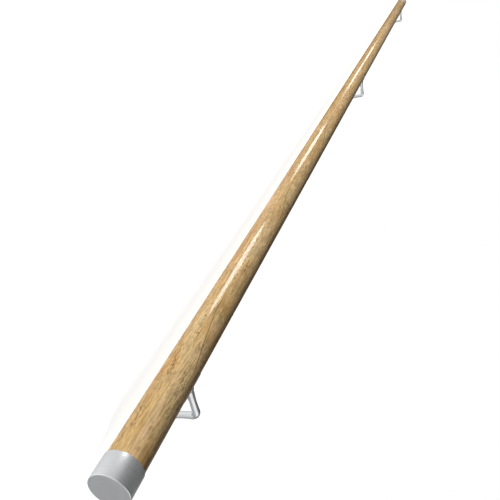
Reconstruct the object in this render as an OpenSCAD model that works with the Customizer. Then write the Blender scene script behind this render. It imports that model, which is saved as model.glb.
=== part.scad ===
// Stair handrail length: a round hardwood rail with a metal cap on each end and
// three cranked wall brackets screwed to its underside. It lies as it comes to
// rest on a floor: on the rims of its end caps and of the brackets' wall roses.
// Each piece is first drawn as it hangs on a wall, with X along the rail, Y
// towards the wall and Z up, and at_rest() then turns and lifts it to the floor.

/* [Rail] */
// Length of the wooden rail
rail_len = 3000; // [1200:100:4800]
// Diameter of the wooden rail
rail_d = 42; // [38:1:50]
// Rounding of the rail's two end edges
rail_edge = 0.5; // [0.3:0.1:0.9]

/* [End caps] */
// Depth of a cap along the rail, end wall included
cap_len = 28; // [20:1:45]
// Thickness of a cap's side wall
cap_wall = 0.9; // [0.7:0.1:2]
// Thickness of a cap's end wall
cap_end_t = 1; // [0.8:0.1:3]
// Gap between a cap's bore and the rail
cap_gap = 0.1; // [0.05:0.05:0.3]
// Bevel round a cap's end face
cap_bevel = 0.6; // [0.2:0.1:1.2]
// Bevel round a cap's mouth
mouth_bevel = 0.3; // [0.1:0.1:0.5]

/* [Bracket places] */
// Distance from each end of the rail to the nearest bracket
bracket_inset = 156; // [100:1:300]
// Number of brackets along the rail
bracket_count = 3; // [3:1:3]

/* [Bracket arm] */
// Distance from the rail's centre line down to the arm's centre line
arm_drop = 66; // [58:1:80]
// Distance from the rail's centre line to the wall
wall_reach = 55; // [48:1:75]
// Diameter of the cranked rod
rod_d = 10; // [8:0.5:12]
// How much thinner the rod is at the middle of each straight run
rod_waist = 1.2; // [0.2:0.1:1.6]
// Lean of the post from upright, away from the wall, in degrees
post_lean = 4; // [0:1:5]
// Radius of the rod's bend, to its centre line
bend_r = 6.5; // [6.5:0.5:10]

/* [Wall rose] */
// Diameter of the round plate against the wall
rose_d = 50; // [44:1:60]
// Thickness of the round plate
rose_t = 5; // [4:0.5:8]
// Bevel round the plate's front edge
rose_bevel = 1.2; // [0.5:0.1:2]
// Diameter of the flare where the arm grows out of the plate
flare_d = 19; // [16:0.5:20]
// Length of that flare along the arm
flare_len = 20; // [8:0.5:24]
// Number of wall screw holes
wall_hole_count = 3; // [2:1:4]
// Diameter of the wall screw holes
wall_hole_d = 5.5; // [4:0.5:6]
// Diameter of the circle that the wall screw holes lie on
wall_hole_circle_d = 34; // [33:0.5:36]
// Diameter of the wall holes' countersinks
wall_sink_d = 10.5; // [8:0.5:11]

/* [Saddle] */
// Length of the saddle plate along the rail
saddle_len = 60; // [50:1:90]
// Width of the saddle plate across the rail
saddle_w = 20; // [19:1:26]
// Thickness of the saddle plate
saddle_t = 3; // [2.5:0.5:5]
// Gap between the saddle and the rail
saddle_gap = 0.1; // [0.05:0.05:0.3]
// Diameter of the collar where the post joins the saddle
collar_d = 12; // [11:0.5:12.5]
// Length of the collar's straight part below the saddle
collar_t = 1.5; // [0.5:0.5:3]
// Length over which the collar tapers into the post
collar_len = 6; // [3:0.5:12]
// Distance between the two rail screw holes
saddle_hole_spacing = 40; // [32:1:60]
// Diameter of the rail screw holes
saddle_hole_d = 4.5; // [3.5:0.5:5]
// Diameter of the rail holes' countersinks
saddle_sink_d = 8.5; // [7:0.5:9]

/* [Hidden] */
$fn = 72;
// Overrun of every cut past the face that it opens
cut_over = 1;
// Steps along each flare and each waist
curve_steps = 8;
rail_r = rail_d / 2;
rod_r = rod_d / 2;
rose_r = rose_d / 2;
cap_bore_r = rail_r + cap_gap;
cap_r = cap_bore_r + cap_wall;
cradle_r = rail_r + saddle_gap;
saddle_r = cradle_r + saddle_t;
wall_sink_depth = (wall_sink_d - wall_hole_d) / 2;
saddle_sink_depth = (saddle_sink_d - saddle_hole_d) / 2;
// The bend turns the rod from its lean to square on the wall, and takes this
// much off each straight run at the corner
bend_turn = 90 - post_lean;
bend_run = bend_r * tan(bend_turn / 2);
// Post and arm are measured from their far ends to the bend. The post's far end
// is its point nearest the rail's centre line, inside the rail
post_len = arm_drop * cos(post_lean) - bend_run;
arm_len = wall_reach - bend_run;
// Distance from the post's far end to where it comes out of the saddle
post_top = sqrt(pow(saddle_r, 2) - pow(arm_drop * sin(post_lean), 2));
// Brackets stand at each end's inset and share the length between them
bracket_step = (rail_len - 2 * bracket_inset) / (bracket_count - 1);
function bracket_x(i) = bracket_inset - rail_len / 2 + i * bracket_step;
// At rest the floor touches the round caps and the upper rim of each rose's
// back face: a line from that rim that is tangent to the cap's circle
rim_drop = arm_drop - rose_r;
rim_reach = sqrt(pow(wall_reach, 2) + pow(rim_drop, 2));
touch_angle = acos(cap_r / rim_reach) - atan2(rim_drop, wall_reach);
rest_turn = -90 - touch_angle;
// The lower rim of each rose is then the far side of the part
far_side = wall_reach * cos(rest_turn) + (arm_drop + rose_r) * sin(rest_turn);
side_shift = -(far_side + cap_r) / 2;

// Turns and lifts a piece from its place on the wall to its place on the floor
module at_rest() {
    translate([0, side_shift, cap_r]) rotate([rest_turn, 0, 0]) children();
}

// Lays a turned piece down, so that its axis runs along the rail
module along_rail() {
    rotate([0, 90, 0]) children();
}

// The wooden rail, with its end edges eased
module rail() {
    color("burlywood") at_rest() along_rail() rotate_extrude() polygon([
        [0, -rail_len / 2],
        [rail_r - rail_edge, -rail_len / 2],
        [rail_r, rail_edge - rail_len / 2],
        [rail_r, rail_len / 2 - rail_edge],
        [rail_r - rail_edge, rail_len / 2],
        [0, rail_len / 2]
    ]);
}

// One cup-shaped cap, its end face at the origin and its mouth up
module cap_cup() {
    rotate_extrude() polygon([
        [0, 0],
        [cap_r - cap_bevel, 0],
        [cap_r, cap_bevel],
        [cap_r, cap_len - mouth_bevel],
        [cap_r - mouth_bevel, cap_len],
        [cap_bore_r, cap_len],
        [cap_bore_r, cap_end_t],
        [0, cap_end_t]
    ]);
}

// A cap on one end of the rail, its end wall against the wood
module end_cap(side) {
    color("silver") at_rest()
        translate([side * (rail_len / 2 + cap_end_t), 0, 0])
        rotate([0, -side * 90, 0]) cap_cup();
}

// Half outline of a flare that runs from a foot into the rod
function flare_points(foot_r, foot_len, start) = [
    for (i = [0:curve_steps])
        let (a = 90 * i / curve_steps)
        [rod_r + (foot_r - rod_r) * (1 - sin(a)), start + foot_len * (1 - cos(a))]
];

// Half outline of a straight run that is a little thinner at its middle
function waist_points(from, to) = [
    for (i = [1:curve_steps])
        [rod_r - rod_waist / 2 * sin(180 * i / curve_steps), from + (to - from) * i / curve_steps]
];

// Moves a piece to the bend's centre, with X towards the bend's end at the post
module at_bend() {
    translate([0, bend_run, bend_r - arm_drop])
        rotate([90, 0, 90]) rotate([0, 0, 180 + post_lean]) children();
}

// The tight bend between the post and the arm
module bend() {
    at_bend() rotate_extrude(angle = bend_turn) translate([bend_r, 0]) circle(rod_r);
}

// The post from the rail down to the bend, with the collar at its top
module post() {
    taper = post_top + collar_t;
    at_bend() translate([bend_r, -post_len, 0]) rotate([-90, 0, 0])
        rotate_extrude() polygon(concat(
            [[0, 0], [collar_d / 2, 0]],
            flare_points(collar_d / 2, collar_len, taper),
            waist_points(taper + collar_len, post_len),
            [[0, post_len]]
        ));
}

// A countersunk hole that opens up, its head at the origin and its shank below
module sunk_hole(hole_d, sink_d, sink_depth, depth) {
    translate([0, 0, -depth - cut_over]) cylinder(d = hole_d, h = depth + cut_over);
    translate([0, 0, -sink_depth])
        cylinder(d1 = hole_d, d2 = sink_d + 2 * cut_over, h = sink_depth + cut_over);
}

// The arm and its round wall plate, turned as one, drawn from the wall outwards.
// One wall hole lies straight above the arm, on the side of the rail
module arm_and_rose() {
    at_bend() rotate([0, 0, bend_turn]) translate([bend_r, arm_len, 0]) rotate([90, 0, 0])
    difference() {
        rotate_extrude() polygon(concat(
            [[0, 0], [rose_r, 0], [rose_r, rose_t - rose_bevel], [rose_r - rose_bevel, rose_t]],
            flare_points(flare_d / 2, flare_len, rose_t),
            waist_points(rose_t + flare_len, arm_len),
            [[0, arm_len]]
        ));
        for (i = [0:wall_hole_count - 1])
            rotate([0, 0, 180 + i * 360 / wall_hole_count])
                translate([wall_hole_circle_d / 2, 0, rose_t])
                sunk_hole(wall_hole_d, wall_sink_d, wall_sink_depth, rose_t);
    }
}

// The saddle plate before its cradle is cut: round ends in plan, rounded below
module saddle_blank() {
    intersection() {
        translate([-saddle_len / 2, 0, 0]) along_rail() cylinder(r = saddle_r, h = saddle_len);
        translate([0, 0, -saddle_r]) linear_extrude(saddle_r) {
            square([saddle_len - saddle_w, saddle_w], center = true);
            for (side = [-1, 1])
                translate([side * (saddle_len - saddle_w) / 2, 0]) circle(d = saddle_w);
        }
    }
}

// One bracket as it hangs on the wall, centred on its post
module bracket_shape() {
    difference() {
        union() {
            saddle_blank();
            post();
            bend();
            arm_and_rose();
        }
        translate([-saddle_len, 0, 0]) along_rail() cylinder(r = cradle_r, h = 2 * saddle_len);
        for (side = [-1, 1])
            translate([side * saddle_hole_spacing / 2, 0, -saddle_r]) rotate([180, 0, 0])
                sunk_hole(saddle_hole_d, saddle_sink_d, saddle_sink_depth, saddle_t);
    }
}

// The bracket with number i, counted from the near end
module bracket(i) {
    color("gainsboro") at_rest() translate([bracket_x(i), 0, 0]) bracket_shape();
}

rail();
end_cap(-1);  // near_end_cap
end_cap(1);  // far_end_cap
bracket(0);  // near_bracket
bracket(1);  // middle_bracket
bracket(2);  // far_bracket
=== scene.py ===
"""A stair handrail length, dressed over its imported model.

The part is a round hardwood rail with a metal cap on each end and three cranked
wall brackets along its underside. It lies as it comes to rest on a level floor:
on the rims of the caps and on the rims of the brackets' wall roses. Everything
here is in metres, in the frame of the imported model, with X along the rail.
"""

import logging
import math
from collections.abc import Callable
from dataclasses import dataclass, field
from enum import Enum

import bmesh
import bpy
from mathutils import Matrix, Vector


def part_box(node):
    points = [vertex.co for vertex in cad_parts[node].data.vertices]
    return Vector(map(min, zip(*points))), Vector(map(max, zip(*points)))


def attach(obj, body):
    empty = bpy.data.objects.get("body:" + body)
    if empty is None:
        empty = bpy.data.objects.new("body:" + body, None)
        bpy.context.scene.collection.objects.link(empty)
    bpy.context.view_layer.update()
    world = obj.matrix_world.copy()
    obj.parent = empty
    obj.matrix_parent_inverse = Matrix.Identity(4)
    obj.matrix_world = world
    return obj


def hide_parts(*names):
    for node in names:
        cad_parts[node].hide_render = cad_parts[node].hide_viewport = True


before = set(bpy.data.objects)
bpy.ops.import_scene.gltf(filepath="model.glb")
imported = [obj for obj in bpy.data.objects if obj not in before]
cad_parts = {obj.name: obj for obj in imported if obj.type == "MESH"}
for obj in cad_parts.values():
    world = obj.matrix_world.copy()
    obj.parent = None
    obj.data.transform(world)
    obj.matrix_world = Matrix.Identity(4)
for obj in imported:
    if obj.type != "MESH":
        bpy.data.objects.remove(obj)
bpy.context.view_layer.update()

logging.basicConfig(level=logging.INFO, format="%(levelname)s %(message)s")
LOG = logging.getLogger("handrail")

MM = 0.001
# How near two places are when they count as the same
SAME_PLACE = 1e-6
SAME_RADIUS = 1e-5
# How square a face's normal is to an axis when it counts as facing along it
FACES_AXIS = 0.99
# Corners of a face on a barrel's side
QUAD = 4

Piece = bpy.types.Object
Socket = bpy.types.NodeSocket
Colour = tuple[float, float, float, float]
Triple = tuple[float, float, float]
# Where an eased change begins and ends, and the levels before and after it
Ramp = tuple[float, float, float, float]


# Named choices


class RailEnd(Enum):
    """The two ends of the rail, with the side of the centre that each is on."""

    NEAR = -1
    FAR = 1

    @property
    def node(self) -> str:
        """Name of this end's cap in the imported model."""
        return f"{self.name.lower()}_end_cap"


class BracketPlace(Enum):
    """The three brackets along the rail."""

    NEAR = "near_bracket"
    MIDDLE = "middle_bracket"
    FAR = "far_bracket"


# Modelling bench


def deselect_all() -> None:
    """Leaves object mode with nothing selected and nothing active."""
    if bpy.context.object and bpy.context.object.mode != "OBJECT":
        bpy.ops.object.mode_set(mode="OBJECT")
    bpy.ops.object.select_all(action="DESELECT")
    bpy.context.view_layer.objects.active = None


def pick(piece: Piece) -> None:
    """Makes one piece the only selected one, and the active one.

    Args:
        piece: The object that the next operators act on.
    """
    deselect_all()
    piece.select_set(True)
    bpy.context.view_layer.objects.active = piece


def settle(piece: Piece) -> None:
    """Moves a piece's place, turn and size into its mesh."""
    pick(piece)
    bpy.ops.object.transform_apply(location=True, rotation=True, scale=True)


def open_edit(piece: Piece, mode: str = "FACE") -> None:
    """Opens a piece in edit mode with nothing selected.

    Args:
        piece: The object to edit.
        mode: What is selected there: VERT, EDGE or FACE.
    """
    pick(piece)
    bpy.ops.object.mode_set(mode="EDIT")
    bpy.ops.mesh.select_mode(type=mode)
    bpy.ops.mesh.select_all(action="DESELECT")


def close_edit() -> None:
    """Goes back to object mode."""
    bpy.ops.object.mode_set(mode="OBJECT")


def select_parts(piece: Piece, kind: str, wanted: Callable[..., bool]) -> None:
    """Selects the parts of the piece in edit mode that pass a test, and no others.

    Args:
        piece: The object that is open in edit mode.
        kind: What is selected: faces or edges.
        wanted: The test, by a part's place or direction.
    """
    bpy.ops.mesh.select_all(action="DESELECT")
    mesh = bmesh.from_edit_mesh(piece.data)
    for part in getattr(mesh, kind):
        if wanted(part):
            part.select_set(True)
    bmesh.update_edit_mesh(piece.data)


def smooth(piece: Piece, degrees: float = 35.0) -> None:
    """Shades a piece smooth, but for edges sharper than an angle in degrees."""
    pick(piece)
    bpy.ops.object.shade_smooth_by_angle(angle=math.radians(degrees))


def add_barrel(name: str, sides: int, radius: float, length: float, centre: Vector) -> Piece:
    """Adds a cylinder that lies along the rail, to be worked into a piece.

    Args:
        name: The piece's name.
        sides: How many flats it has.
        radius: Its radius.
        length: Its length.
        centre: Its middle.

    Returns:
        The cylinder, at the origin.
    """
    deselect_all()
    bpy.ops.mesh.primitive_cylinder_add(
        vertices=sides, radius=radius, depth=length, location=centre, rotation=(0, math.pi / 2, 0)
    )
    barrel = bpy.context.object
    barrel.name = barrel.data.name = name
    settle(barrel)
    return barrel


def goes_round(edge: bmesh.types.BMEdge) -> bool:
    """True for an edge of a barrel's ends."""
    return abs(edge.verts[0].co.x - edge.verts[1].co.x) < SAME_PLACE


def closes_end(face: bmesh.types.BMFace) -> bool:
    """True for a round face that closes an end of a barrel."""
    return abs(face.normal.x) > FACES_AXIS and len(face.verts) > QUAD


def copy_piece(piece: Piece, name: str, move: Matrix) -> Piece:
    """Copies a piece with a mesh of its own and moves the copy's mesh.

    Args:
        piece: The object to copy, at the origin.
        name: Name of the copy.
        move: Where the copy's mesh goes.

    Returns:
        The copy, at the origin.
    """
    twin = piece.copy()
    twin.data = piece.data.copy()
    twin.name = name
    twin.data.name = name
    twin.data.transform(move)
    bpy.context.scene.collection.objects.link(twin)
    return twin


# Shader bench


@dataclass(frozen=True)
class Pattern:
    """A noise pattern: its fineness along the three axes, its layers and its shift."""

    scale: Triple
    detail: float = 2.0
    rough: float = 0.5
    shift: Triple = (0.0, 0.0, 0.0)


class ShaderBench:
    """Adds and joins the nodes of one material or world."""

    def __init__(self, tree: bpy.types.NodeTree) -> None:
        """Empties the node tree that is built in."""
        self.tree = tree
        tree.nodes.clear()

    def add(self, kind: str, **settings: object) -> bpy.types.Node:
        """Adds a node.

        Args:
            kind: The node's type, without the leading "ShaderNode".
            **settings: Values for the node's own properties.

        Returns:
            The new node.
        """
        node = self.tree.nodes.new("ShaderNode" + kind)
        for name, value in settings.items():
            setattr(node, name, value)
        return node

    def join(self, source: Socket, target: Socket) -> None:
        """Links an output to an input."""
        self.tree.links.new(source, target)

    def feed(self, node: bpy.types.Node, slot: int | str, value: object) -> None:
        """Links a socket to an input, or sets the input to a plain value.

        Args:
            node: The node that takes the value.
            slot: Name or number of the input.
            value: A socket, a number, a vector or a colour.
        """
        if isinstance(value, Socket):
            self.join(value, node.inputs[slot])
        else:
            node.inputs[slot].default_value = value

    def place(
        self,
        vector: Socket,
        location: Triple = (0.0, 0.0, 0.0),
        turn: Triple = (0.0, 0.0, 0.0),
        scale: Triple = (1.0, 1.0, 1.0),
        kind: str = "POINT",
    ) -> Socket:
        """Moves, turns and scales a pattern's coordinates.

        Args:
            vector: The coordinates.
            location: How far they move.
            turn: Angles about the three axes, in radians.
            scale: Factors along the three axes.
            kind: POINT, or TEXTURE to undo the same placing.

        Returns:
            The placed coordinates.
        """
        node = self.add("Mapping", vector_type=kind)
        self.join(vector, node.inputs["Vector"])
        node.inputs["Location"].default_value = location
        node.inputs["Rotation"].default_value = turn
        node.inputs["Scale"].default_value = scale
        return node.outputs["Vector"]

    def noise(
        self,
        vector: Socket,
        scale: float = 1.0,
        detail: float = 2.0,
        rough: float = 0.5,
        output: str = "Fac",
    ) -> Socket:
        """Adds a noise pattern.

        Args:
            vector: The coordinates.
            scale: How fine the noise is.
            detail: How many finer layers are added.
            rough: How strong the finer layers are.
            output: Fac for a number or Color for a vector.

        Returns:
            The noise.
        """
        node = self.add("TexNoise")
        self.join(vector, node.inputs["Vector"])
        node.inputs["Scale"].default_value = scale
        node.inputs["Detail"].default_value = detail
        node.inputs["Roughness"].default_value = rough
        return node.outputs[output]

    def pattern(self, vector: Socket, pattern: Pattern, output: str = "Fac") -> Socket:
        """Adds a noise pattern that is stretched along the axes."""
        placed = self.place(vector, pattern.shift, scale=pattern.scale)
        return self.noise(placed, detail=pattern.detail, rough=pattern.rough, output=output)

    def sway(self, vector: Socket, pattern: Pattern, reach: Triple) -> Socket:
        """Makes a shift that follows a noise to both sides of nothing, as far as it may reach."""
        noise = self.pattern(vector, pattern, "Color")
        return self.vector_calc("MULTIPLY", self.vector_calc("SUBTRACT", noise, (0.5,) * 3), reach)

    def calc(self, kind: str, first: object, second: object = 0.0, third: object = 0.0) -> Socket:
        """Adds a number node.

        Args:
            kind: The operation, such as ADD or MULTIPLY.
            first: First number or socket.
            second: Second number or socket.
            third: Third number or socket.

        Returns:
            The result.
        """
        node = self.add("Math", operation=kind)
        self.feed(node, 0, first)
        self.feed(node, 1, second)
        self.feed(node, 2, third)
        return node.outputs[0]

    def vector_calc(
        self, kind: str, first: object, second: object = (0.0, 0.0, 0.0), output: str = "Vector"
    ) -> Socket:
        """Adds a vector node.

        Args:
            kind: The operation, such as ADD or LENGTH.
            first: First vector or socket.
            second: Second vector or socket.
            output: Vector or Value.

        Returns:
            The result.
        """
        node = self.add("VectorMath", operation=kind)
        self.feed(node, 0, first)
        self.feed(node, 1, second)
        return node.outputs[output]

    def ease(
        self, value: object, low: float, high: float, start: float = 0.0, end: float = 1.0
    ) -> Socket:
        """Eases a number from one level to another as it passes from low to high.

        Args:
            value: The number or socket.
            low: Where the change begins.
            high: Where the change ends.
            start: The level before it.
            end: The level after it.

        Returns:
            The eased number.
        """
        node = self.add("MapRange", interpolation_type="SMOOTHSTEP")
        self.feed(node, "Value", value)
        node.inputs["From Min"].default_value = low
        node.inputs["From Max"].default_value = high
        node.inputs["To Min"].default_value = start
        node.inputs["To Max"].default_value = end
        return node.outputs["Result"]

    def levels(self, value: object, stops: tuple[tuple[float, float], ...]) -> Socket:
        """Reads a number off a line through a few points.

        Args:
            value: The number or socket.
            stops: The points, each a value and its level, in rising order.

        Returns:
            The level.
        """
        (first, level), *rest = stops
        total: object = level
        for second, goal in rest:
            step = self.add("MapRange", interpolation_type="LINEAR")
            self.feed(step, "Value", value)
            step.inputs["From Min"].default_value = first
            step.inputs["From Max"].default_value = second
            step.inputs["To Min"].default_value = 0.0
            step.inputs["To Max"].default_value = goal - level
            total = self.calc("ADD", total, step.outputs["Result"])
            first, level = second, goal
        return total

    def blend(self, factor: object, first: object, second: object) -> Socket:
        """Blends two colours.

        Args:
            factor: How much of the second colour shows.
            first: The first colour or socket.
            second: The second colour or socket.

        Returns:
            The blended colour.
        """
        node = self.add("Mix", data_type="RGBA")
        factor_slot, first_slot, second_slot, result_slot = 0, 6, 7, 2
        self.feed(node, factor_slot, factor)
        self.feed(node, first_slot, first)
        self.feed(node, second_slot, second)
        return node.outputs[result_slot]

    def raise_relief(
        self, shader: bpy.types.Node, height: Socket, strength: float, depth: float
    ) -> None:
        """Gives a shader's surface a fine relief.

        Args:
            shader: The shader that takes the relief.
            height: How high each point is.
            strength: How much of the relief shows.
            depth: How deep the relief is.
        """
        bump = self.add("Bump")
        bump.inputs["Strength"].default_value = strength
        bump.inputs["Distance"].default_value = depth
        self.join(height, bump.inputs["Height"])
        self.join(bump.outputs["Normal"], shader.inputs["Normal"])


def new_material(name: str) -> tuple[bpy.types.Material, ShaderBench, bpy.types.Node]:
    """Starts a material with a Principled shader.

    Args:
        name: The material's name.

    Returns:
        The material, its bench and its Principled node.
    """
    material = bpy.data.materials.new(name)
    material.use_nodes = True
    bench = ShaderBench(material.node_tree)
    output = bench.add("OutputMaterial")
    shader = bench.add("BsdfPrincipled")
    bench.join(shader.outputs["BSDF"], output.inputs["Surface"])
    return material, bench, shader


# Finishes


@dataclass(frozen=True)
class LacqueredHardwood:
    """Honey-coloured, open-pored hardwood under a clear lacquer.

    The growth rings are shells about a pith that lies outside the rail and runs
    at an angle to it, so they come out as long slanting bands. Every so often a
    dark growth line crosses the bands in a slow S.
    """

    pale: Colour = (0.720, 0.540, 0.285, 1.0)
    tan: Colour = (0.610, 0.415, 0.180, 1.0)
    pink: Colour = (0.730, 0.500, 0.285, 1.0)
    orange: Colour = (0.560, 0.300, 0.100, 1.0)
    dark: Colour = (0.240, 0.125, 0.045, 1.0)
    # Growth rings, and how they wander
    ring: float = 3.6 * MM
    pith_off: float = 62 * MM
    grain_turn: float = 200.0
    slant: float = 2.4
    wander: Pattern = Pattern((2.4, 14.0, 14.0))
    wander_reach: Triple = (0.0, 16 * MM, 16 * MM)
    ripple: Pattern = Pattern((22.0, 60.0, 60.0), detail=1.0)
    ripple_reach: Triple = (0.0, 1.6 * MM, 1.6 * MM)
    year_ramp: Ramp = (0.25, 1.0, 0.1, 1.0)
    # Bands, patches and streaks of colour
    patch: Pattern = Pattern((7.0, 46.0, 46.0), detail=3.0, rough=0.6)
    patch_ramp: Ramp = (0.36, 0.64, 0.0, 1.0)
    hue: Pattern = Pattern((5.0, 60.0, 60.0), shift=(3.1, 0.4, 0.2))
    hue_ramp: Ramp = (0.5, 0.64, 0.0, 0.7)
    streak: Pattern = Pattern((4.0, 190.0, 190.0), rough=0.6)
    streak_ramp: Ramp = (0.42, 0.66, 0.0, 0.5)
    glow: Pattern = Pattern((15.0, 70.0, 70.0), shift=(1.7, 0.1, 0.9))
    glow_ramp: Ramp = (0.56, 0.72, 0.0, 0.6)
    mottle: Pattern = Pattern((70.0, 110.0, 110.0))
    mottle_ramp: Ramp = (0.3, 0.7, 0.93, 1.06)
    late_rise: Ramp = (0.3, 0.92, 0.0, 1.0)
    late_fall: Ramp = (0.92, 1.0, 1.0, 0.0)
    late_share: float = 0.5
    # Fibre and pores
    fibre: Pattern = Pattern((38.0, 520.0, 520.0), detail=3.0, rough=0.65)
    fibre_ramp: Ramp = (0.3, 0.7, 0.74, 1.22)
    dash: Pattern = Pattern((190.0, 700.0, 700.0), detail=0.0)
    dash_ramp: Ramp = (0.53, 0.62, 0.0, 1.0)
    crowd: Pattern = Pattern((12.0, 90.0, 90.0), detail=1.0)
    crowd_ramp: Ramp = (0.35, 0.6, 0.35, 1.0)
    early_ramp: Ramp = (0.05, 0.6, 1.0, 0.45)
    pore_share: float = 0.75
    # The dark growth line, in metres along the rail and degrees round it
    line_every: float = 345 * MM
    line_from: float = -1344 * MM
    line_run: float = 105 * MM
    line_start: float = 42.0
    line_drop: float = 38.0
    line_width: float = 0.9 * MM
    line_core: float = 0.25
    line_share: float = 0.85
    line_stray: Pattern = Pattern((7.0, 20.0, 20.0))
    line_reach: Triple = (60 * MM, 9 * MM, 9 * MM)
    line_rise: Ramp = (0.0, 0.15, 0.0, 1.0)
    line_fall: Ramp = (1.0, 1.5, 1.0, 0.0)
    # Surface
    matt_ramp: Ramp = (0.3, 0.7, 0.42, 0.55)
    wood_ior: float = 1.3
    lacquer: float = 1.0
    lacquer_rough: float = 0.115
    lacquer_ior: float = 1.32
    relief: float = 0.12
    relief_depth: float = 0.03 * MM

    def build(self, axis: Vector, radius: float) -> bpy.types.Material:
        """Makes the wood.

        Args:
            axis: A point on the rail's centre line.
            radius: The rail's radius.

        Returns:
            The material.
        """
        material, bench, shader = new_material("lacquered_hardwood")
        place = bench.add("TexCoord").outputs["Object"]
        centred = bench.place(place, tuple(axis), kind="TEXTURE")
        turn = (math.radians(self.grain_turn), 0.0, 0.0)
        grain = bench.place(centred, turn=turn, kind="TEXTURE")
        season, year = self._growth(bench, grain)
        fibre = bench.pattern(grain, self.fibre)
        pores = self._pores(bench, grain, season)
        line = self._growth_line(bench, centred, radius)

        colour = self._bands(bench, grain, season, year)
        colour = bench.blend(bench.calc("MULTIPLY", line, self.line_share), colour, self.dark)
        colour = bench.vector_calc("MULTIPLY", colour, bench.ease(fibre, *self.fibre_ramp))
        colour = bench.blend(bench.calc("MULTIPLY", pores, self.pore_share), colour, self.dark)
        bench.join(colour, shader.inputs["Base Color"])

        bench.join(bench.ease(fibre, *self.matt_ramp), shader.inputs["Roughness"])
        shader.inputs["IOR"].default_value = self.wood_ior
        shader.inputs["Specular IOR Level"].default_value = 0.0
        shader.inputs["Coat Weight"].default_value = self.lacquer
        shader.inputs["Coat Roughness"].default_value = self.lacquer_rough
        shader.inputs["Coat IOR"].default_value = self.lacquer_ior
        height = bench.calc("SUBTRACT", fibre, pores)
        bench.raise_relief(shader, height, self.relief, self.relief_depth)
        return material

    def _growth(self, bench: ShaderBench, grain: Socket) -> tuple[Socket, Socket]:
        """Lays the growth rings through the wood.

        Args:
            bench: The material's bench.
            grain: Coordinates with X along the grain.

        Returns:
            How far through its ring a point is, and how dark that year's wood is.
        """
        wander = bench.sway(grain, self.wander, self.wander_reach)
        ripple = bench.sway(grain, self.ripple, self.ripple_reach)
        wavy = bench.vector_calc("ADD", bench.vector_calc("ADD", grain, wander), ripple)
        slant = (0.0, 0.0, math.radians(self.slant))
        slanted = bench.place(wavy, (0.0, self.pith_off, 0.0), slant)
        across = bench.vector_calc("MULTIPLY", slanted, (0.0, 1.0, 1.0))
        from_pith = bench.vector_calc("LENGTH", across, output="Value")
        rings = bench.calc("DIVIDE", from_pith, self.ring)
        year = bench.add("TexWhiteNoise", noise_dimensions="1D")
        bench.join(bench.calc("FLOOR", rings), year.inputs["W"])
        return bench.calc("FRACT", rings), bench.ease(year.outputs["Value"], *self.year_ramp)

    def _bands(self, bench: ShaderBench, grain: Socket, season: Socket, year: Socket) -> Socket:
        """Colours the wood in soft bands, patches and streaks.

        Args:
            bench: The material's bench.
            grain: Coordinates with X along the grain.
            season: How far through its ring a point is.
            year: How dark that year's wood is.

        Returns:
            The colour without its fibre and pores.
        """
        colour: object = self.pale
        for pattern, ramp, tint in (
            (self.patch, self.patch_ramp, self.tan),
            (self.hue, self.hue_ramp, self.pink),
            (self.streak, self.streak_ramp, self.tan),
            (self.glow, self.glow_ramp, self.orange),
        ):
            share = bench.ease(bench.pattern(grain, pattern), *ramp)
            colour = bench.blend(share, colour, tint)
        rise, fall = bench.ease(season, *self.late_rise), bench.ease(season, *self.late_fall)
        late = bench.calc("MULTIPLY", bench.calc("MULTIPLY", rise, fall), year)
        colour = bench.blend(bench.calc("MULTIPLY", late, self.late_share), colour, self.orange)
        mottle = bench.ease(bench.pattern(grain, self.mottle), *self.mottle_ramp)
        return bench.vector_calc("MULTIPLY", colour, mottle)

    def _pores(self, bench: ShaderBench, grain: Socket, season: Socket) -> Socket:
        """Scatters the open pores, which are short dark dashes along the grain.

        Args:
            bench: The material's bench.
            grain: Coordinates with X along the grain.
            season: How far through its ring a point is.

        Returns:
            How much of a pore lies at a point.
        """
        dash = bench.ease(bench.pattern(grain, self.dash), *self.dash_ramp)
        crowd = bench.ease(bench.pattern(grain, self.crowd), *self.crowd_ramp)
        early = bench.ease(season, *self.early_ramp)
        return bench.calc("MULTIPLY", dash, bench.calc("MULTIPLY", early, crowd))

    def _growth_line(self, bench: ShaderBench, centred: Socket, radius: float) -> Socket:
        """Draws the dark growth line that comes back along the rail.

        Args:
            bench: The material's bench.
            centred: Coordinates about the rail's centre line.
            radius: The rail's radius.

        Returns:
            How much of the line lies at a point.
        """
        stray = bench.sway(centred, self.line_stray, self.line_reach)
        parts = bench.add("SeparateXYZ")
        bench.join(bench.vector_calc("ADD", centred, stray), parts.inputs[0])
        way = bench.calc("SUBTRACT", parts.outputs["X"], self.line_from)
        way = bench.calc("FRACT", bench.calc("DIVIDE", way, self.line_every))
        run = bench.calc("MULTIPLY", way, self.line_every / self.line_run)
        angle = bench.calc("ARCTAN2", parts.outputs["Z"], parts.outputs["Y"])
        start = math.radians(self.line_start)
        route = bench.ease(run, 0.0, 1.0, start, start - math.radians(self.line_drop))
        off = bench.calc("ABSOLUTE", bench.calc("SUBTRACT", angle, route))
        off = bench.calc("MULTIPLY", off, radius)
        rise, fall = bench.ease(run, *self.line_rise), bench.ease(run, *self.line_fall)
        shown = bench.calc("MULTIPLY", rise, fall)
        core = self.line_core * self.line_width
        return bench.calc("MULTIPLY", bench.ease(off, core, self.line_width, 1.0, 0.0), shown)


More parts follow.
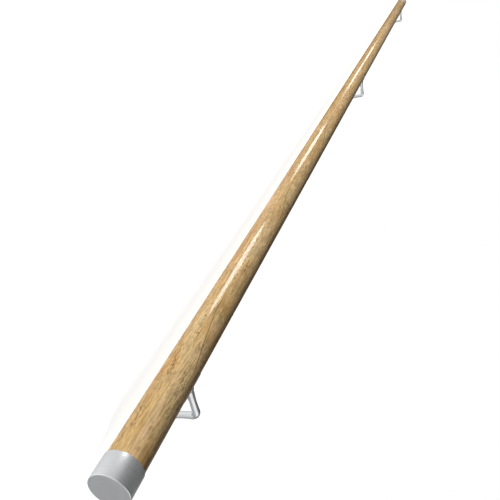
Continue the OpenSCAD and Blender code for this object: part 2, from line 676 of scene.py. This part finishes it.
@dataclass(frozen=True)
class TurnedSatinMetal:
    """Satin metal of the end caps, with fine turning lines round the axis."""

    bright: Colour = (0.79, 0.80, 0.81, 1.0)
    shade: Colour = (0.73, 0.74, 0.75, 1.0)
    polished: Colour = (0.95, 0.95, 0.96, 1.0)
    rough_low: float = 0.27
    rough_high: float = 0.34
    rim: float = 0.9 * MM
    # Fineness of the turning lines across and along them
    lines_across: float = 2600.0
    lines_along: float = 34.0
    lines_rough: float = 0.6
    line_ramp: Ramp = (0.3, 0.7, 0.0, 1.0)
    cloud: float = 45.0
    cloud_detail: float = 3.0
    # How far the lines and the clouds show in the roughness
    line_wear: float = 0.6
    cloud_wear: float = 0.4
    wear_low: float = 0.35
    wear_high: float = 0.65
    relief: float = 0.12
    relief_depth: float = 0.015 * MM

    def build(self, axis: Vector, radius: float, half_length: float) -> bpy.types.Material:
        """Makes the metal.

        Args:
            axis: The middle of the rail's centre line.
            radius: Outer radius of the caps.
            half_length: Distance from there to the caps' end faces.

        Returns:
            The material.
        """
        material, bench, shader = new_material("turned_satin_metal")
        place = bench.add("TexCoord").outputs["Object"]
        place = bench.place(place, tuple(axis), kind="TEXTURE")
        across = bench.vector_calc("MULTIPLY", place, (0.0, 1.0, 1.0))
        out = bench.vector_calc("LENGTH", across, output="Value")
        parts = bench.add("SeparateXYZ")
        bench.join(place, parts.inputs[0])
        edge = bench.calc(
            "MULTIPLY",
            self._past(bench, out, radius),
            self._past(bench, bench.calc("ABSOLUTE", parts.outputs["X"]), half_length),
        )
        lines = self._lines(bench, parts, out)
        cloud = bench.noise(place, scale=self.cloud, detail=self.cloud_detail)
        colour = bench.blend(bench.ease(lines, *self.line_ramp), self.shade, self.bright)
        bench.join(bench.blend(edge, colour, self.polished), shader.inputs["Base Color"])
        cloud_part = bench.calc("MULTIPLY", cloud, self.cloud_wear)
        wear = bench.calc("ADD", bench.calc("MULTIPLY", lines, self.line_wear), cloud_part)
        rough = bench.ease(wear, self.wear_low, self.wear_high, self.rough_low, self.rough_high)
        bench.join(rough, shader.inputs["Roughness"])
        shader.inputs["Metallic"].default_value = 1.0
        bench.raise_relief(shader, lines, self.relief, self.relief_depth)
        return material

    def _past(self, bench: ShaderBench, distance: Socket, limit: float) -> Socket:
        """Eases in over the outer half of the polished rim."""
        return bench.ease(distance, limit - self.rim, limit - self.rim / 2)

    def _lines(self, bench: ShaderBench, parts: bpy.types.Node, out: Socket) -> Socket:
        """Draws the turning lines.

        Args:
            bench: The material's bench.
            parts: The three parts of a point's place.
            out: How far the point is from the axis.

        Returns:
            The lines.
        """
        place = bench.add("CombineXYZ")
        drift = bench.calc("MULTIPLY", parts.outputs["Y"], self.lines_along)
        along = bench.calc("MULTIPLY_ADD", parts.outputs["X"], self.lines_across, drift)
        bench.join(along, place.inputs["X"])
        bench.join(bench.calc("MULTIPLY", out, self.lines_across), place.inputs["Y"])
        turn = bench.calc("MULTIPLY", parts.outputs["Z"], self.lines_along)
        bench.join(turn, place.inputs["Z"])
        return bench.noise(place.outputs[0], rough=self.lines_rough)


@dataclass(frozen=True)
class PolishedBracketMetal:
    """Bright plated metal of the brackets, with a slightly uneven polish."""

    name: str = "plated_bracket_metal"
    bright: Colour = (0.85, 0.86, 0.87, 1.0)
    shade: Colour = (0.75, 0.76, 0.77, 1.0)
    rough_low: float = 0.08
    rough_high: float = 0.15
    cloud: float = 90.0
    cloud_detail: float = 4.0
    cloud_rough: float = 0.6
    cloud_ramp: Ramp = (0.3, 0.7, 0.0, 1.0)
    grit: float = 1400.0
    # How far the clouds and the grit show in the roughness
    cloud_wear: float = 0.7
    grit_wear: float = 0.3
    wear_low: float = 0.35
    wear_high: float = 0.65
    relief: float = 0.12
    relief_depth: float = 0.05 * MM

    def build(self) -> bpy.types.Material:
        """Makes the metal.

        Returns:
            The material.
        """
        material, bench, shader = new_material(self.name)
        place = bench.add("TexCoord").outputs["Object"]
        cloud = bench.noise(place, self.cloud, self.cloud_detail, self.cloud_rough)
        grit = bench.noise(place, self.grit)
        colour = bench.blend(bench.ease(cloud, *self.cloud_ramp), self.shade, self.bright)
        bench.join(colour, shader.inputs["Base Color"])
        grit_part = bench.calc("MULTIPLY", grit, self.grit_wear)
        wear = bench.calc("ADD", bench.calc("MULTIPLY", cloud, self.cloud_wear), grit_part)
        rough = bench.ease(wear, self.wear_low, self.wear_high, self.rough_low, self.rough_high)
        bench.join(rough, shader.inputs["Roughness"])
        shader.inputs["Metallic"].default_value = 1.0
        bench.raise_relief(shader, wear, self.relief, self.relief_depth)
        return material


# Sub-assemblies


@dataclass(frozen=True)
class RestingPlace:
    """Where the part lies, worked out from its own sizes as the source does."""

    cap_radius: float = 22 * MM
    arm_drop: float = 66 * MM
    wall_reach: float = 55 * MM
    rose_radius: float = 25 * MM

    @property
    def axis(self) -> Vector:
        """A point on the rail's centre line, half way along it."""
        low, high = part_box("rail")
        return (low + high) / 2

    @property
    def turn(self) -> float:
        """Angle from the hung pose to the resting one, about the rail's axis.

        Returns:
            The angle, in radians.
        """
        drop = self.arm_drop - self.rose_radius
        reach = math.hypot(self.wall_reach, drop)
        touch = math.acos(self.cap_radius / reach) - math.atan2(drop, self.wall_reach)
        return -math.pi / 2 - touch

    def from_hung(self, x: float) -> Matrix:
        """Takes a piece from where it hangs on a wall, x along the rail, to its place at rest."""
        axis = self.axis
        return Matrix.Translation((x, axis.y, axis.z)) @ Matrix.Rotation(self.turn, 4, "X")


@dataclass
class WoodenRail:
    """The round hardwood rail, with its end edges eased."""

    place: RestingPlace
    finish: LacqueredHardwood = field(default_factory=LacqueredHardwood)
    sides: int = 160
    edge: float = 0.5 * MM
    edge_steps: int = 3
    end_inset: float = 0.5

    def build(self) -> Piece:
        """Models the rail.

        Returns:
            The finished piece.
        """
        low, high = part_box("rail")
        radius = (high.z - low.z) / 2
        length = high.x - low.x
        rail = add_barrel("handrail_wood", self.sides, radius, length, self.place.axis)
        open_edit(rail, "EDGE")
        select_parts(rail, "edges", goes_round)
        bpy.ops.mesh.bevel(offset=self.edge, segments=self.edge_steps, affect="EDGES")
        bpy.ops.mesh.select_mode(type="FACE")
        select_parts(rail, "faces", closes_end)
        bpy.ops.mesh.inset(thickness=radius * self.end_inset)
        close_edit()
        smooth(rail)
        self.dress(rail)
        return rail

    def dress(self, rail: Piece) -> None:
        """Gives the rail its finish and its place in the part.

        Args:
            rail: The finished piece.
        """
        low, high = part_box("rail")
        wood = self.finish.build(self.place.axis, (high.z - low.z) / 2)
        rail.data.materials.append(wood)
        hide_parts("rail")
        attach(rail, "root")


@dataclass
class EndCap:
    """A cup-shaped metal cap that is pushed over one end of the rail."""

    end: RailEnd
    place: RestingPlace
    metal: bpy.types.Material
    sides: int = 160
    wall: float = 0.9 * MM
    end_wall: float = 1.0 * MM
    bevel: float = 0.6 * MM
    bevel_steps: int = 4
    mouth_bevel: float = 0.3 * MM
    mouth_steps: int = 3
    end_inset: float = 0.35

    def build(self) -> Piece:
        """Models the cap.

        Returns:
            The finished piece.
        """
        low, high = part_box(self.end.node)
        radius, depth = (high.z - low.z) / 2, high.x - low.x
        face_x = low.x if self.end is RailEnd.NEAR else high.x
        mouth_x = high.x if self.end is RailEnd.NEAR else low.x
        name = f"{self.end.name.lower()}_cap_shell"
        cap = add_barrel(name, self.sides, radius, depth, (low + high) / 2)
        open_edit(cap)
        select_parts(cap, "faces", lambda f: abs(f.calc_center_median().x - mouth_x) < SAME_PLACE)
        bpy.ops.mesh.inset(thickness=self.wall)
        inwards = (self.end.value * (depth - self.end_wall), 0, 0)
        bpy.ops.mesh.extrude_region_move(TRANSFORM_OT_translate={"value": inwards})
        select_parts(cap, "faces", closes_end)
        bpy.ops.mesh.inset(thickness=radius * self.end_inset)
        bpy.ops.mesh.select_mode(type="EDGE")
        centre = self.place.axis
        self._select_rim(cap, face_x, radius, centre)
        bpy.ops.mesh.bevel(offset=self.bevel, segments=self.bevel_steps, affect="EDGES")
        self._select_rim(cap, mouth_x, radius, centre)
        bpy.ops.mesh.bevel(offset=self.mouth_bevel, segments=self.mouth_steps, affect="EDGES")
        close_edit()
        smooth(cap)
        self.dress(cap)
        return cap

    @staticmethod
    def _select_rim(cap: Piece, x: float, radius: float, centre: Vector) -> None:
        """Selects the ring of edges at one end of the barrel.

        Args:
            cap: The cap in edit mode.
            x: Where along the rail the ring is.
            radius: The ring's radius.
            centre: A point on the rail's centre line.
        """

        def off_axis(vert: bmesh.types.BMVert) -> float:
            """How far a corner is from the rail's centre line."""
            return math.hypot(vert.co.y - centre.y, vert.co.z - centre.z)

        def on_rim(vert: bmesh.types.BMVert) -> bool:
            """True for a corner on the ring."""
            return abs(vert.co.x - x) < SAME_PLACE and abs(off_axis(vert) - radius) < SAME_RADIUS

        select_parts(cap, "edges", lambda edge: all(map(on_rim, edge.verts)))

    def dress(self, cap: Piece) -> None:
        """Gives the cap its finish and its place in the part.

        Args:
            cap: The finished piece.
        """
        cap.data.materials.append(self.metal)
        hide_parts(self.end.node)
        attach(cap, "root")


@dataclass
class SaddleScrew:
    """A countersunk screw with a cross recess, which holds a saddle to the rail."""

    metal: bpy.types.Material
    head_d: float = 8.2 * MM
    shank_d: float = 4.2 * MM
    head_t: float = 1.9 * MM
    shank_len: float = 8.0 * MM
    tip: float = 0.72
    rim: float = 0.35 * MM
    sides: int = 48
    sharp: float = 30.0
    # The cross recess: its length, its width, its cutter's height and its taper
    recess: float = 4.4 * MM
    slot: float = 0.95 * MM
    cutter: float = 2.6 * MM
    taper_along: float = 0.35
    taper_across: float = 0.55

    def build(self) -> Piece:
        """Models one screw at the origin, head up.

        Returns:
            The pattern for the copies.
        """
        deselect_all()
        radius, middle = self.head_d / 2, (0, 0, -self.head_t / 2)
        bpy.ops.mesh.primitive_cylinder_add(
            vertices=self.sides, radius=radius, depth=self.head_t, location=middle
        )
        screw = bpy.context.object
        screw.name = screw.data.name = "saddle_screw"
        settle(screw)
        open_edit(screw)
        select_parts(screw, "faces", lambda f: f.normal.z < -FACES_AXIS)
        shrink = self.shank_d / self.head_d
        bpy.ops.transform.resize(value=(shrink, shrink, 1.0))
        down = (0, 0, -self.shank_len)
        bpy.ops.mesh.extrude_region_move(TRANSFORM_OT_translate={"value": down})
        bpy.ops.transform.resize(value=(self.tip, self.tip, 1.0))
        select_parts(screw, "faces", lambda f: f.normal.z > FACES_AXIS)
        bpy.ops.mesh.inset(thickness=self.rim)
        close_edit()
        self._cut_cross(screw)
        smooth(screw, self.sharp)
        screw.data.materials.append(self.metal)
        return screw

    def _cut_cross(self, screw: Piece) -> None:
        """Cuts the tapered cross recess into the head.

        Args:
            screw: The screw that is cut.
        """
        for quarter, taper in (
            (0, (self.taper_along, self.taper_across, 1.0)),
            (1, (self.taper_across, self.taper_along, 1.0)),
        ):
            deselect_all()
            bpy.ops.mesh.primitive_cube_add(size=1.0, location=(0, 0, 0))
            cutter = bpy.context.object
            cutter.scale = (self.recess, self.slot, self.cutter)
            cutter.rotation_euler.z = quarter * math.pi / 2
            settle(cutter)
            open_edit(cutter)
            select_parts(cutter, "faces", lambda f: f.normal.z < -FACES_AXIS)
            bpy.ops.transform.resize(value=taper)
            close_edit()
            cut = screw.modifiers.new("cross", "BOOLEAN")
            cut.operation = "DIFFERENCE"
            cut.object = cutter
            pick(screw)
            bpy.ops.object.modifier_apply(modifier=cut.name)
            bpy.data.objects.remove(cutter, do_unlink=True)


@dataclass
class WallBracket:
    """One cranked bracket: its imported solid, dressed, and its two rail screws."""

    which: BracketPlace
    place: RestingPlace
    metal: bpy.types.Material
    screw: Piece
    saddle_radius: float = 24.1 * MM
    screw_spacing: float = 40 * MM
    screw_spin: float = 23.0
    spin_apart: float = 41.0

    def build(self) -> list[Piece]:
        """Dresses the bracket and sets its screws.

        Returns:
            The bracket and its screws.
        """
        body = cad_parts[self.which.value]
        for slot in body.material_slots:
            slot.material = self.metal
        return [body] + [self._set_screw(side) for side in (-1, 1)]

    def _set_screw(self, side: int) -> Piece:
        """Copies the screw into one hole of the saddle.

        Args:
            side: -1 for the hole towards the near end, or 1.

        Returns:
            The screw in its place.
        """
        low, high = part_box(self.which.value)
        x = (low.x + high.x) / 2 + side * self.screw_spacing / 2
        down = Matrix.Translation((0, 0, -self.saddle_radius)) @ Matrix.Rotation(math.pi, 4, "X")
        angle = math.radians(self.screw_spin + self.spin_apart * side)
        spin = Matrix.Rotation(angle, 4, "Z")
        name = f"{self.which.value}_screw_{'near' if side < 0 else 'far'}"
        screw = copy_piece(self.screw, name, self.place.from_hung(x) @ down @ spin)
        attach(screw, "root")
        return screw


# Studio


@dataclass(frozen=True)
class StripLamp:
    """A long narrow lamp beside the rail, with pointed ends."""

    start: float
    end: float
    radiance: float
    width: float = 0.17


@dataclass(frozen=True)
class Panel:
    """A patch of the surround that gloss sees lighter or darker.

    Its edge is soft, from the outer to the inner cosine off its own direction.
    """

    towards: Triple
    level: float
    outer: float
    inner: float


@dataclass(frozen=True)
class PhotoCamera:
    """The photograph's camera, near the rail's near end and rolled on its side."""

    right: Triple = (0.286894, 0.327017, 0.900418)
    up: Triple = (0.508028, 0.744933, -0.432417)
    back: Triple = (-0.812157, 0.581495, 0.047582)
    location: Triple = (-1.7637, 0.54275, 0.07903)
    sensor_width: float = 36.0
    lens: float = 40.564
    shift_x: float = -0.0279
    shift_y: float = 0.0055
    clip_start: float = 0.01
    clip_end: float = 60.0

    def build(self) -> None:
        """Places the camera."""
        lens = bpy.data.cameras.new("camera")
        for name in ("sensor_width", "lens", "shift_x", "shift_y", "clip_start", "clip_end"):
            setattr(lens, name, getattr(self, name))
        camera = bpy.data.objects.new("camera", lens)
        axes = Matrix((self.right, self.up, self.back))
        matrix = axes.transposed().to_4x4()
        matrix.translation = self.location
        camera.matrix_world = matrix
        bpy.context.scene.collection.objects.link(camera)
        bpy.context.scene.camera = camera


@dataclass
class Studio:
    """Plain white floor, soft light and the camera.

    Elevations and spreads are in degrees. The strips, pools and streaks follow the
    rail, and the levels of the surround are what gloss sees by height.
    """

    place: RestingPlace
    camera: PhotoCamera = field(default_factory=PhotoCamera)
    strips: tuple[StripLamp, ...] = (StripLamp(-1.04, -0.67, 15.0), StripLamp(-0.40, 0.12, 8.0))
    strip_elevation: float = -26.0
    strip_distance: float = 0.35
    key_elevation: float = -24.0
    key_strength: float = 2.95
    fill_elevation: float = 156.0
    fill_strength: float = 2.0
    sun_spread: float = 20.0
    sun_lean: float = -0.25
    pools: tuple[tuple[float, float], ...] = ((-0.10, 17.0), (0.65, 42.0), (1.35, 66.0))
    pool_elevation: float = 6.0
    pool_distance: float = 1.8
    pool_cone: float = 73.0
    pool_size: float = 0.2
    matt_level: float = 0.03
    matt_tint: Colour = (1.0, 0.70, 0.40, 1.0)
    white: Colour = (1.0, 1.0, 1.0, 1.0)
    floor_size: float = 24.0
    floor_colour: Colour = (0.8, 0.8, 0.8, 1.0)
    floor_glow: float = 0.9
    surround: tuple[tuple[float, float], ...] = (
        (-1.0, 0.98), (-0.7, 0.80), (0.0, 0.58), (0.34, 0.34), (0.8, 0.20), (0.95, 0.16)
    )
    streak_inner: float = 5.0
    streak_outer: float = 15.0
    far_streaks: tuple[tuple[float, float], ...] = (
        (0.936, 0.0), (0.945, 5.5), (0.965, 5.5), (0.969, 0.0),
        (0.9725, 0.0), (0.974, 6.5), (0.9815, 6.5), (0.984, 0.0),
    )
    panels: tuple[Panel, ...] = (
        Panel((-0.60, -0.25, 0.75), 1.0, 0.75, 0.95),
        Panel((0.87, -0.40, 0.28), 0.05, 0.80, 0.96),
        Panel((1.0, 0.0, 0.0), 0.08, 0.82, 0.93),
        Panel((-0.90, 0.42, -0.05), 1.25, 0.90, 0.98),
        Panel((-0.42, -0.90, -0.09), 0.40, 0.90, 0.98),
    )

    def build(self) -> None:
        """Sets up the floor, the lamps, the world and the camera."""
        self.add_floor()
        self.add_lamps()
        self.add_world()
        self.camera.build()
        bpy.context.scene.view_settings.view_transform = "Standard"

    def add_floor(self) -> None:
        """Lays the white floor."""
        deselect_all()
        bpy.ops.mesh.primitive_plane_add(size=self.floor_size, location=(0, 0, 0))
        floor = bpy.context.object
        floor.name = floor.data.name = "studio_floor"
        material = bpy.data.materials.new("white_floor")
        material.use_nodes = True
        bench = ShaderBench(material.node_tree)
        output = bench.add("OutputMaterial")
        matt = bench.add("BsdfDiffuse")
        matt.inputs["Color"].default_value = self.floor_colour
        glow = bench.add("Emission")
        path = bench.add("LightPath")
        seen = bench.calc("MAXIMUM", path.outputs["Is Camera Ray"], path.outputs["Is Glossy Ray"])
        seen = bench.calc("MAXIMUM", seen, path.outputs["Is Transmission Ray"])
        bench.join(bench.calc("MULTIPLY", seen, self.floor_glow), glow.inputs["Strength"])
        both = bench.add("AddShader")
        bench.join(matt.outputs[0], both.inputs[0])
        bench.join(glow.outputs[0], both.inputs[1])
        bench.join(both.outputs[0], output.inputs["Surface"])
        floor.data.materials.append(material)
        floor.visible_shadow = False
        floor.visible_glossy = False

    def add_lamps(self) -> None:
        """Hangs the soft key and fill, the pools and the strips."""
        self._add_sun("soft_key", self.key_elevation, self.key_strength)
        self._add_sun("soft_fill", self.fill_elevation, self.fill_strength)
        for number, (x, power) in enumerate(self.pools):
            self._add_pool(number, x, power)
        for number, strip in enumerate(self.strips):
            self._add_strip(number, strip)

    @staticmethod
    def _across(elevation: float, along: float = 0.0) -> Vector:
        """Points across the rail, at an elevation."""
        angle = math.radians(elevation)
        return Vector((along, math.cos(angle), math.sin(angle)))

    @staticmethod
    def _hold(lamp: bpy.types.Light) -> Piece:
        """Puts a lamp in the scene.

        Args:
            lamp: The lamp.

        Returns:
            The object that holds it.
        """
        holder = bpy.data.objects.new(lamp.name, lamp)
        bpy.context.scene.collection.objects.link(holder)
        return holder

    def _add_sun(self, name: str, elevation: float, strength: float) -> None:
        """Adds a soft lamp from far away, which gloss doesn't see.

        Args:
            name: The lamp's name.
            elevation: How high it stands.
            strength: How strong it is.
        """
        lamp = bpy.data.lights.new(name, "SUN")
        lamp.energy = strength
        lamp.angle = math.radians(self.sun_spread)
        holder = self._hold(lamp)
        away = self._across(elevation, self.sun_lean)
        holder.rotation_euler = away.to_track_quat("Z", "Y").to_euler()
        holder.visible_glossy = False

    def _add_pool(self, number: int, x: float, power: float) -> None:
        """Adds a soft pool of light on a part of the rail.

        Args:
            number: The lamp's number.
            x: Where along the rail the pool lies.
            power: How strong the lamp is.
        """
        lamp = bpy.data.lights.new(f"pool_{number}", "SPOT")
        lamp.energy = power
        lamp.spot_size = math.radians(self.pool_cone)
        lamp.spot_blend = 1.0
        lamp.shadow_soft_size = self.pool_size
        holder = self._hold(lamp)
        towards = self._across(self.pool_elevation)
        holder.location = self.place.axis + towards * self.pool_distance + Vector((x, 0, 0))
        holder.rotation_euler = towards.to_track_quat("Z", "Y").to_euler()
        holder.visible_camera = False
        holder.visible_glossy = False

    def _add_strip(self, number: int, strip: StripLamp) -> None:
        """Adds a narrow lamp that only gloss sees.

        Args:
            number: The lamp's number.
            strip: The lamp's place and brightness.
        """
        lamp = bpy.data.lights.new(f"strip_{number}", "AREA")
        lamp.shape = "ELLIPSE"
        lamp.size = strip.end - strip.start
        lamp.size_y = strip.width
        lamp.energy = strip.radiance * math.pi * (math.pi / 4 * lamp.size * lamp.size_y)
        holder = self._hold(lamp)
        towards = self._across(self.strip_elevation)
        side = Vector((1, 0, 0))
        matrix = Matrix((side, towards.cross(side), towards)).transposed().to_4x4()
        spot = self.place.axis + towards * self.strip_distance
        matrix.translation = spot + side * ((strip.start + strip.end) / 2)
        holder.matrix_world = matrix
        holder.visible_camera = False
        holder.visible_diffuse = False

    def add_world(self) -> None:
        """Makes the white surround.

        The camera sees it plain white, and matt surfaces see it dim and warm. Gloss
        sees it fade from the floor up, with the panels and two bright streaks in it.
        """
        world = bpy.data.worlds.new("white_surround")
        bpy.context.scene.world = world
        world.use_nodes = True
        bench = ShaderBench(world.node_tree)
        output = bench.add("OutputWorld")
        sky = bench.add("Background")
        towards = bench.add("TexCoord").outputs["Generated"]
        parts = bench.add("SeparateXYZ")
        bench.join(towards, parts.inputs[0])
        shine = bench.levels(parts.outputs["Z"], self.surround)
        for panel in self.panels:
            centre = Vector(panel.towards).normalized()
            near = bench.vector_calc("DOT_PRODUCT", towards, centre, output="Value")
            seen = bench.ease(near, panel.outer, panel.inner)
            step = bench.calc("SUBTRACT", panel.level, shine)
            shine = bench.calc("MULTIPLY_ADD", seen, step, shine)
        lean = bench.calc("ARCTAN2", parts.outputs["Z"], parts.outputs["Y"])
        off = bench.calc("SUBTRACT", lean, math.radians(self.strip_elevation))
        off = bench.calc("ABSOLUTE", off)
        inner, outer = math.radians(self.streak_inner), math.radians(self.streak_outer)
        streak = bench.levels(parts.outputs["X"], self.far_streaks)
        shine = bench.calc("MULTIPLY_ADD", streak, bench.ease(off, inner, outer, 1.0, 0.0), shine)
        path = bench.add("LightPath")
        glossy = path.outputs["Is Glossy Ray"]
        step = bench.calc("SUBTRACT", shine, self.matt_level)
        level = bench.calc("MULTIPLY_ADD", glossy, step, self.matt_level)
        camera = path.outputs["Is Camera Ray"]
        level = bench.calc("MULTIPLY_ADD", camera, bench.calc("SUBTRACT", 1.0, level), level)
        plain = bench.calc("MAXIMUM", glossy, camera)
        bench.join(bench.blend(plain, self.matt_tint, self.white), sky.inputs["Color"])
        bench.join(level, sky.inputs["Strength"])
        bench.join(sky.outputs[0], output.inputs["Surface"])


def main() -> None:
    """Builds and dresses the part, then the studio."""
    place = RestingPlace()
    LOG.info("rail: %s", WoodenRail(place).build().name)
    low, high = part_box(RailEnd.FAR.node)
    cap_metal = TurnedSatinMetal().build(place.axis, (high.z - low.z) / 2, high.x - place.axis.x)
    for end in RailEnd:
        LOG.info("cap: %s", EndCap(end, place, cap_metal).build().name)
    bracket_metal = PolishedBracketMetal().build()
    screw_metal = PolishedBracketMetal(name="screw_metal", rough_low=0.22, rough_high=0.34)
    screw = SaddleScrew(screw_metal.build()).build()
    for which in BracketPlace:
        pieces = WallBracket(which, place, bracket_metal, screw).build()
        LOG.info("bracket: %s", [piece.name for piece in pieces])
    bpy.data.objects.remove(screw, do_unlink=True)
    Studio(place).build()


if __name__ == "__main__":
    main()
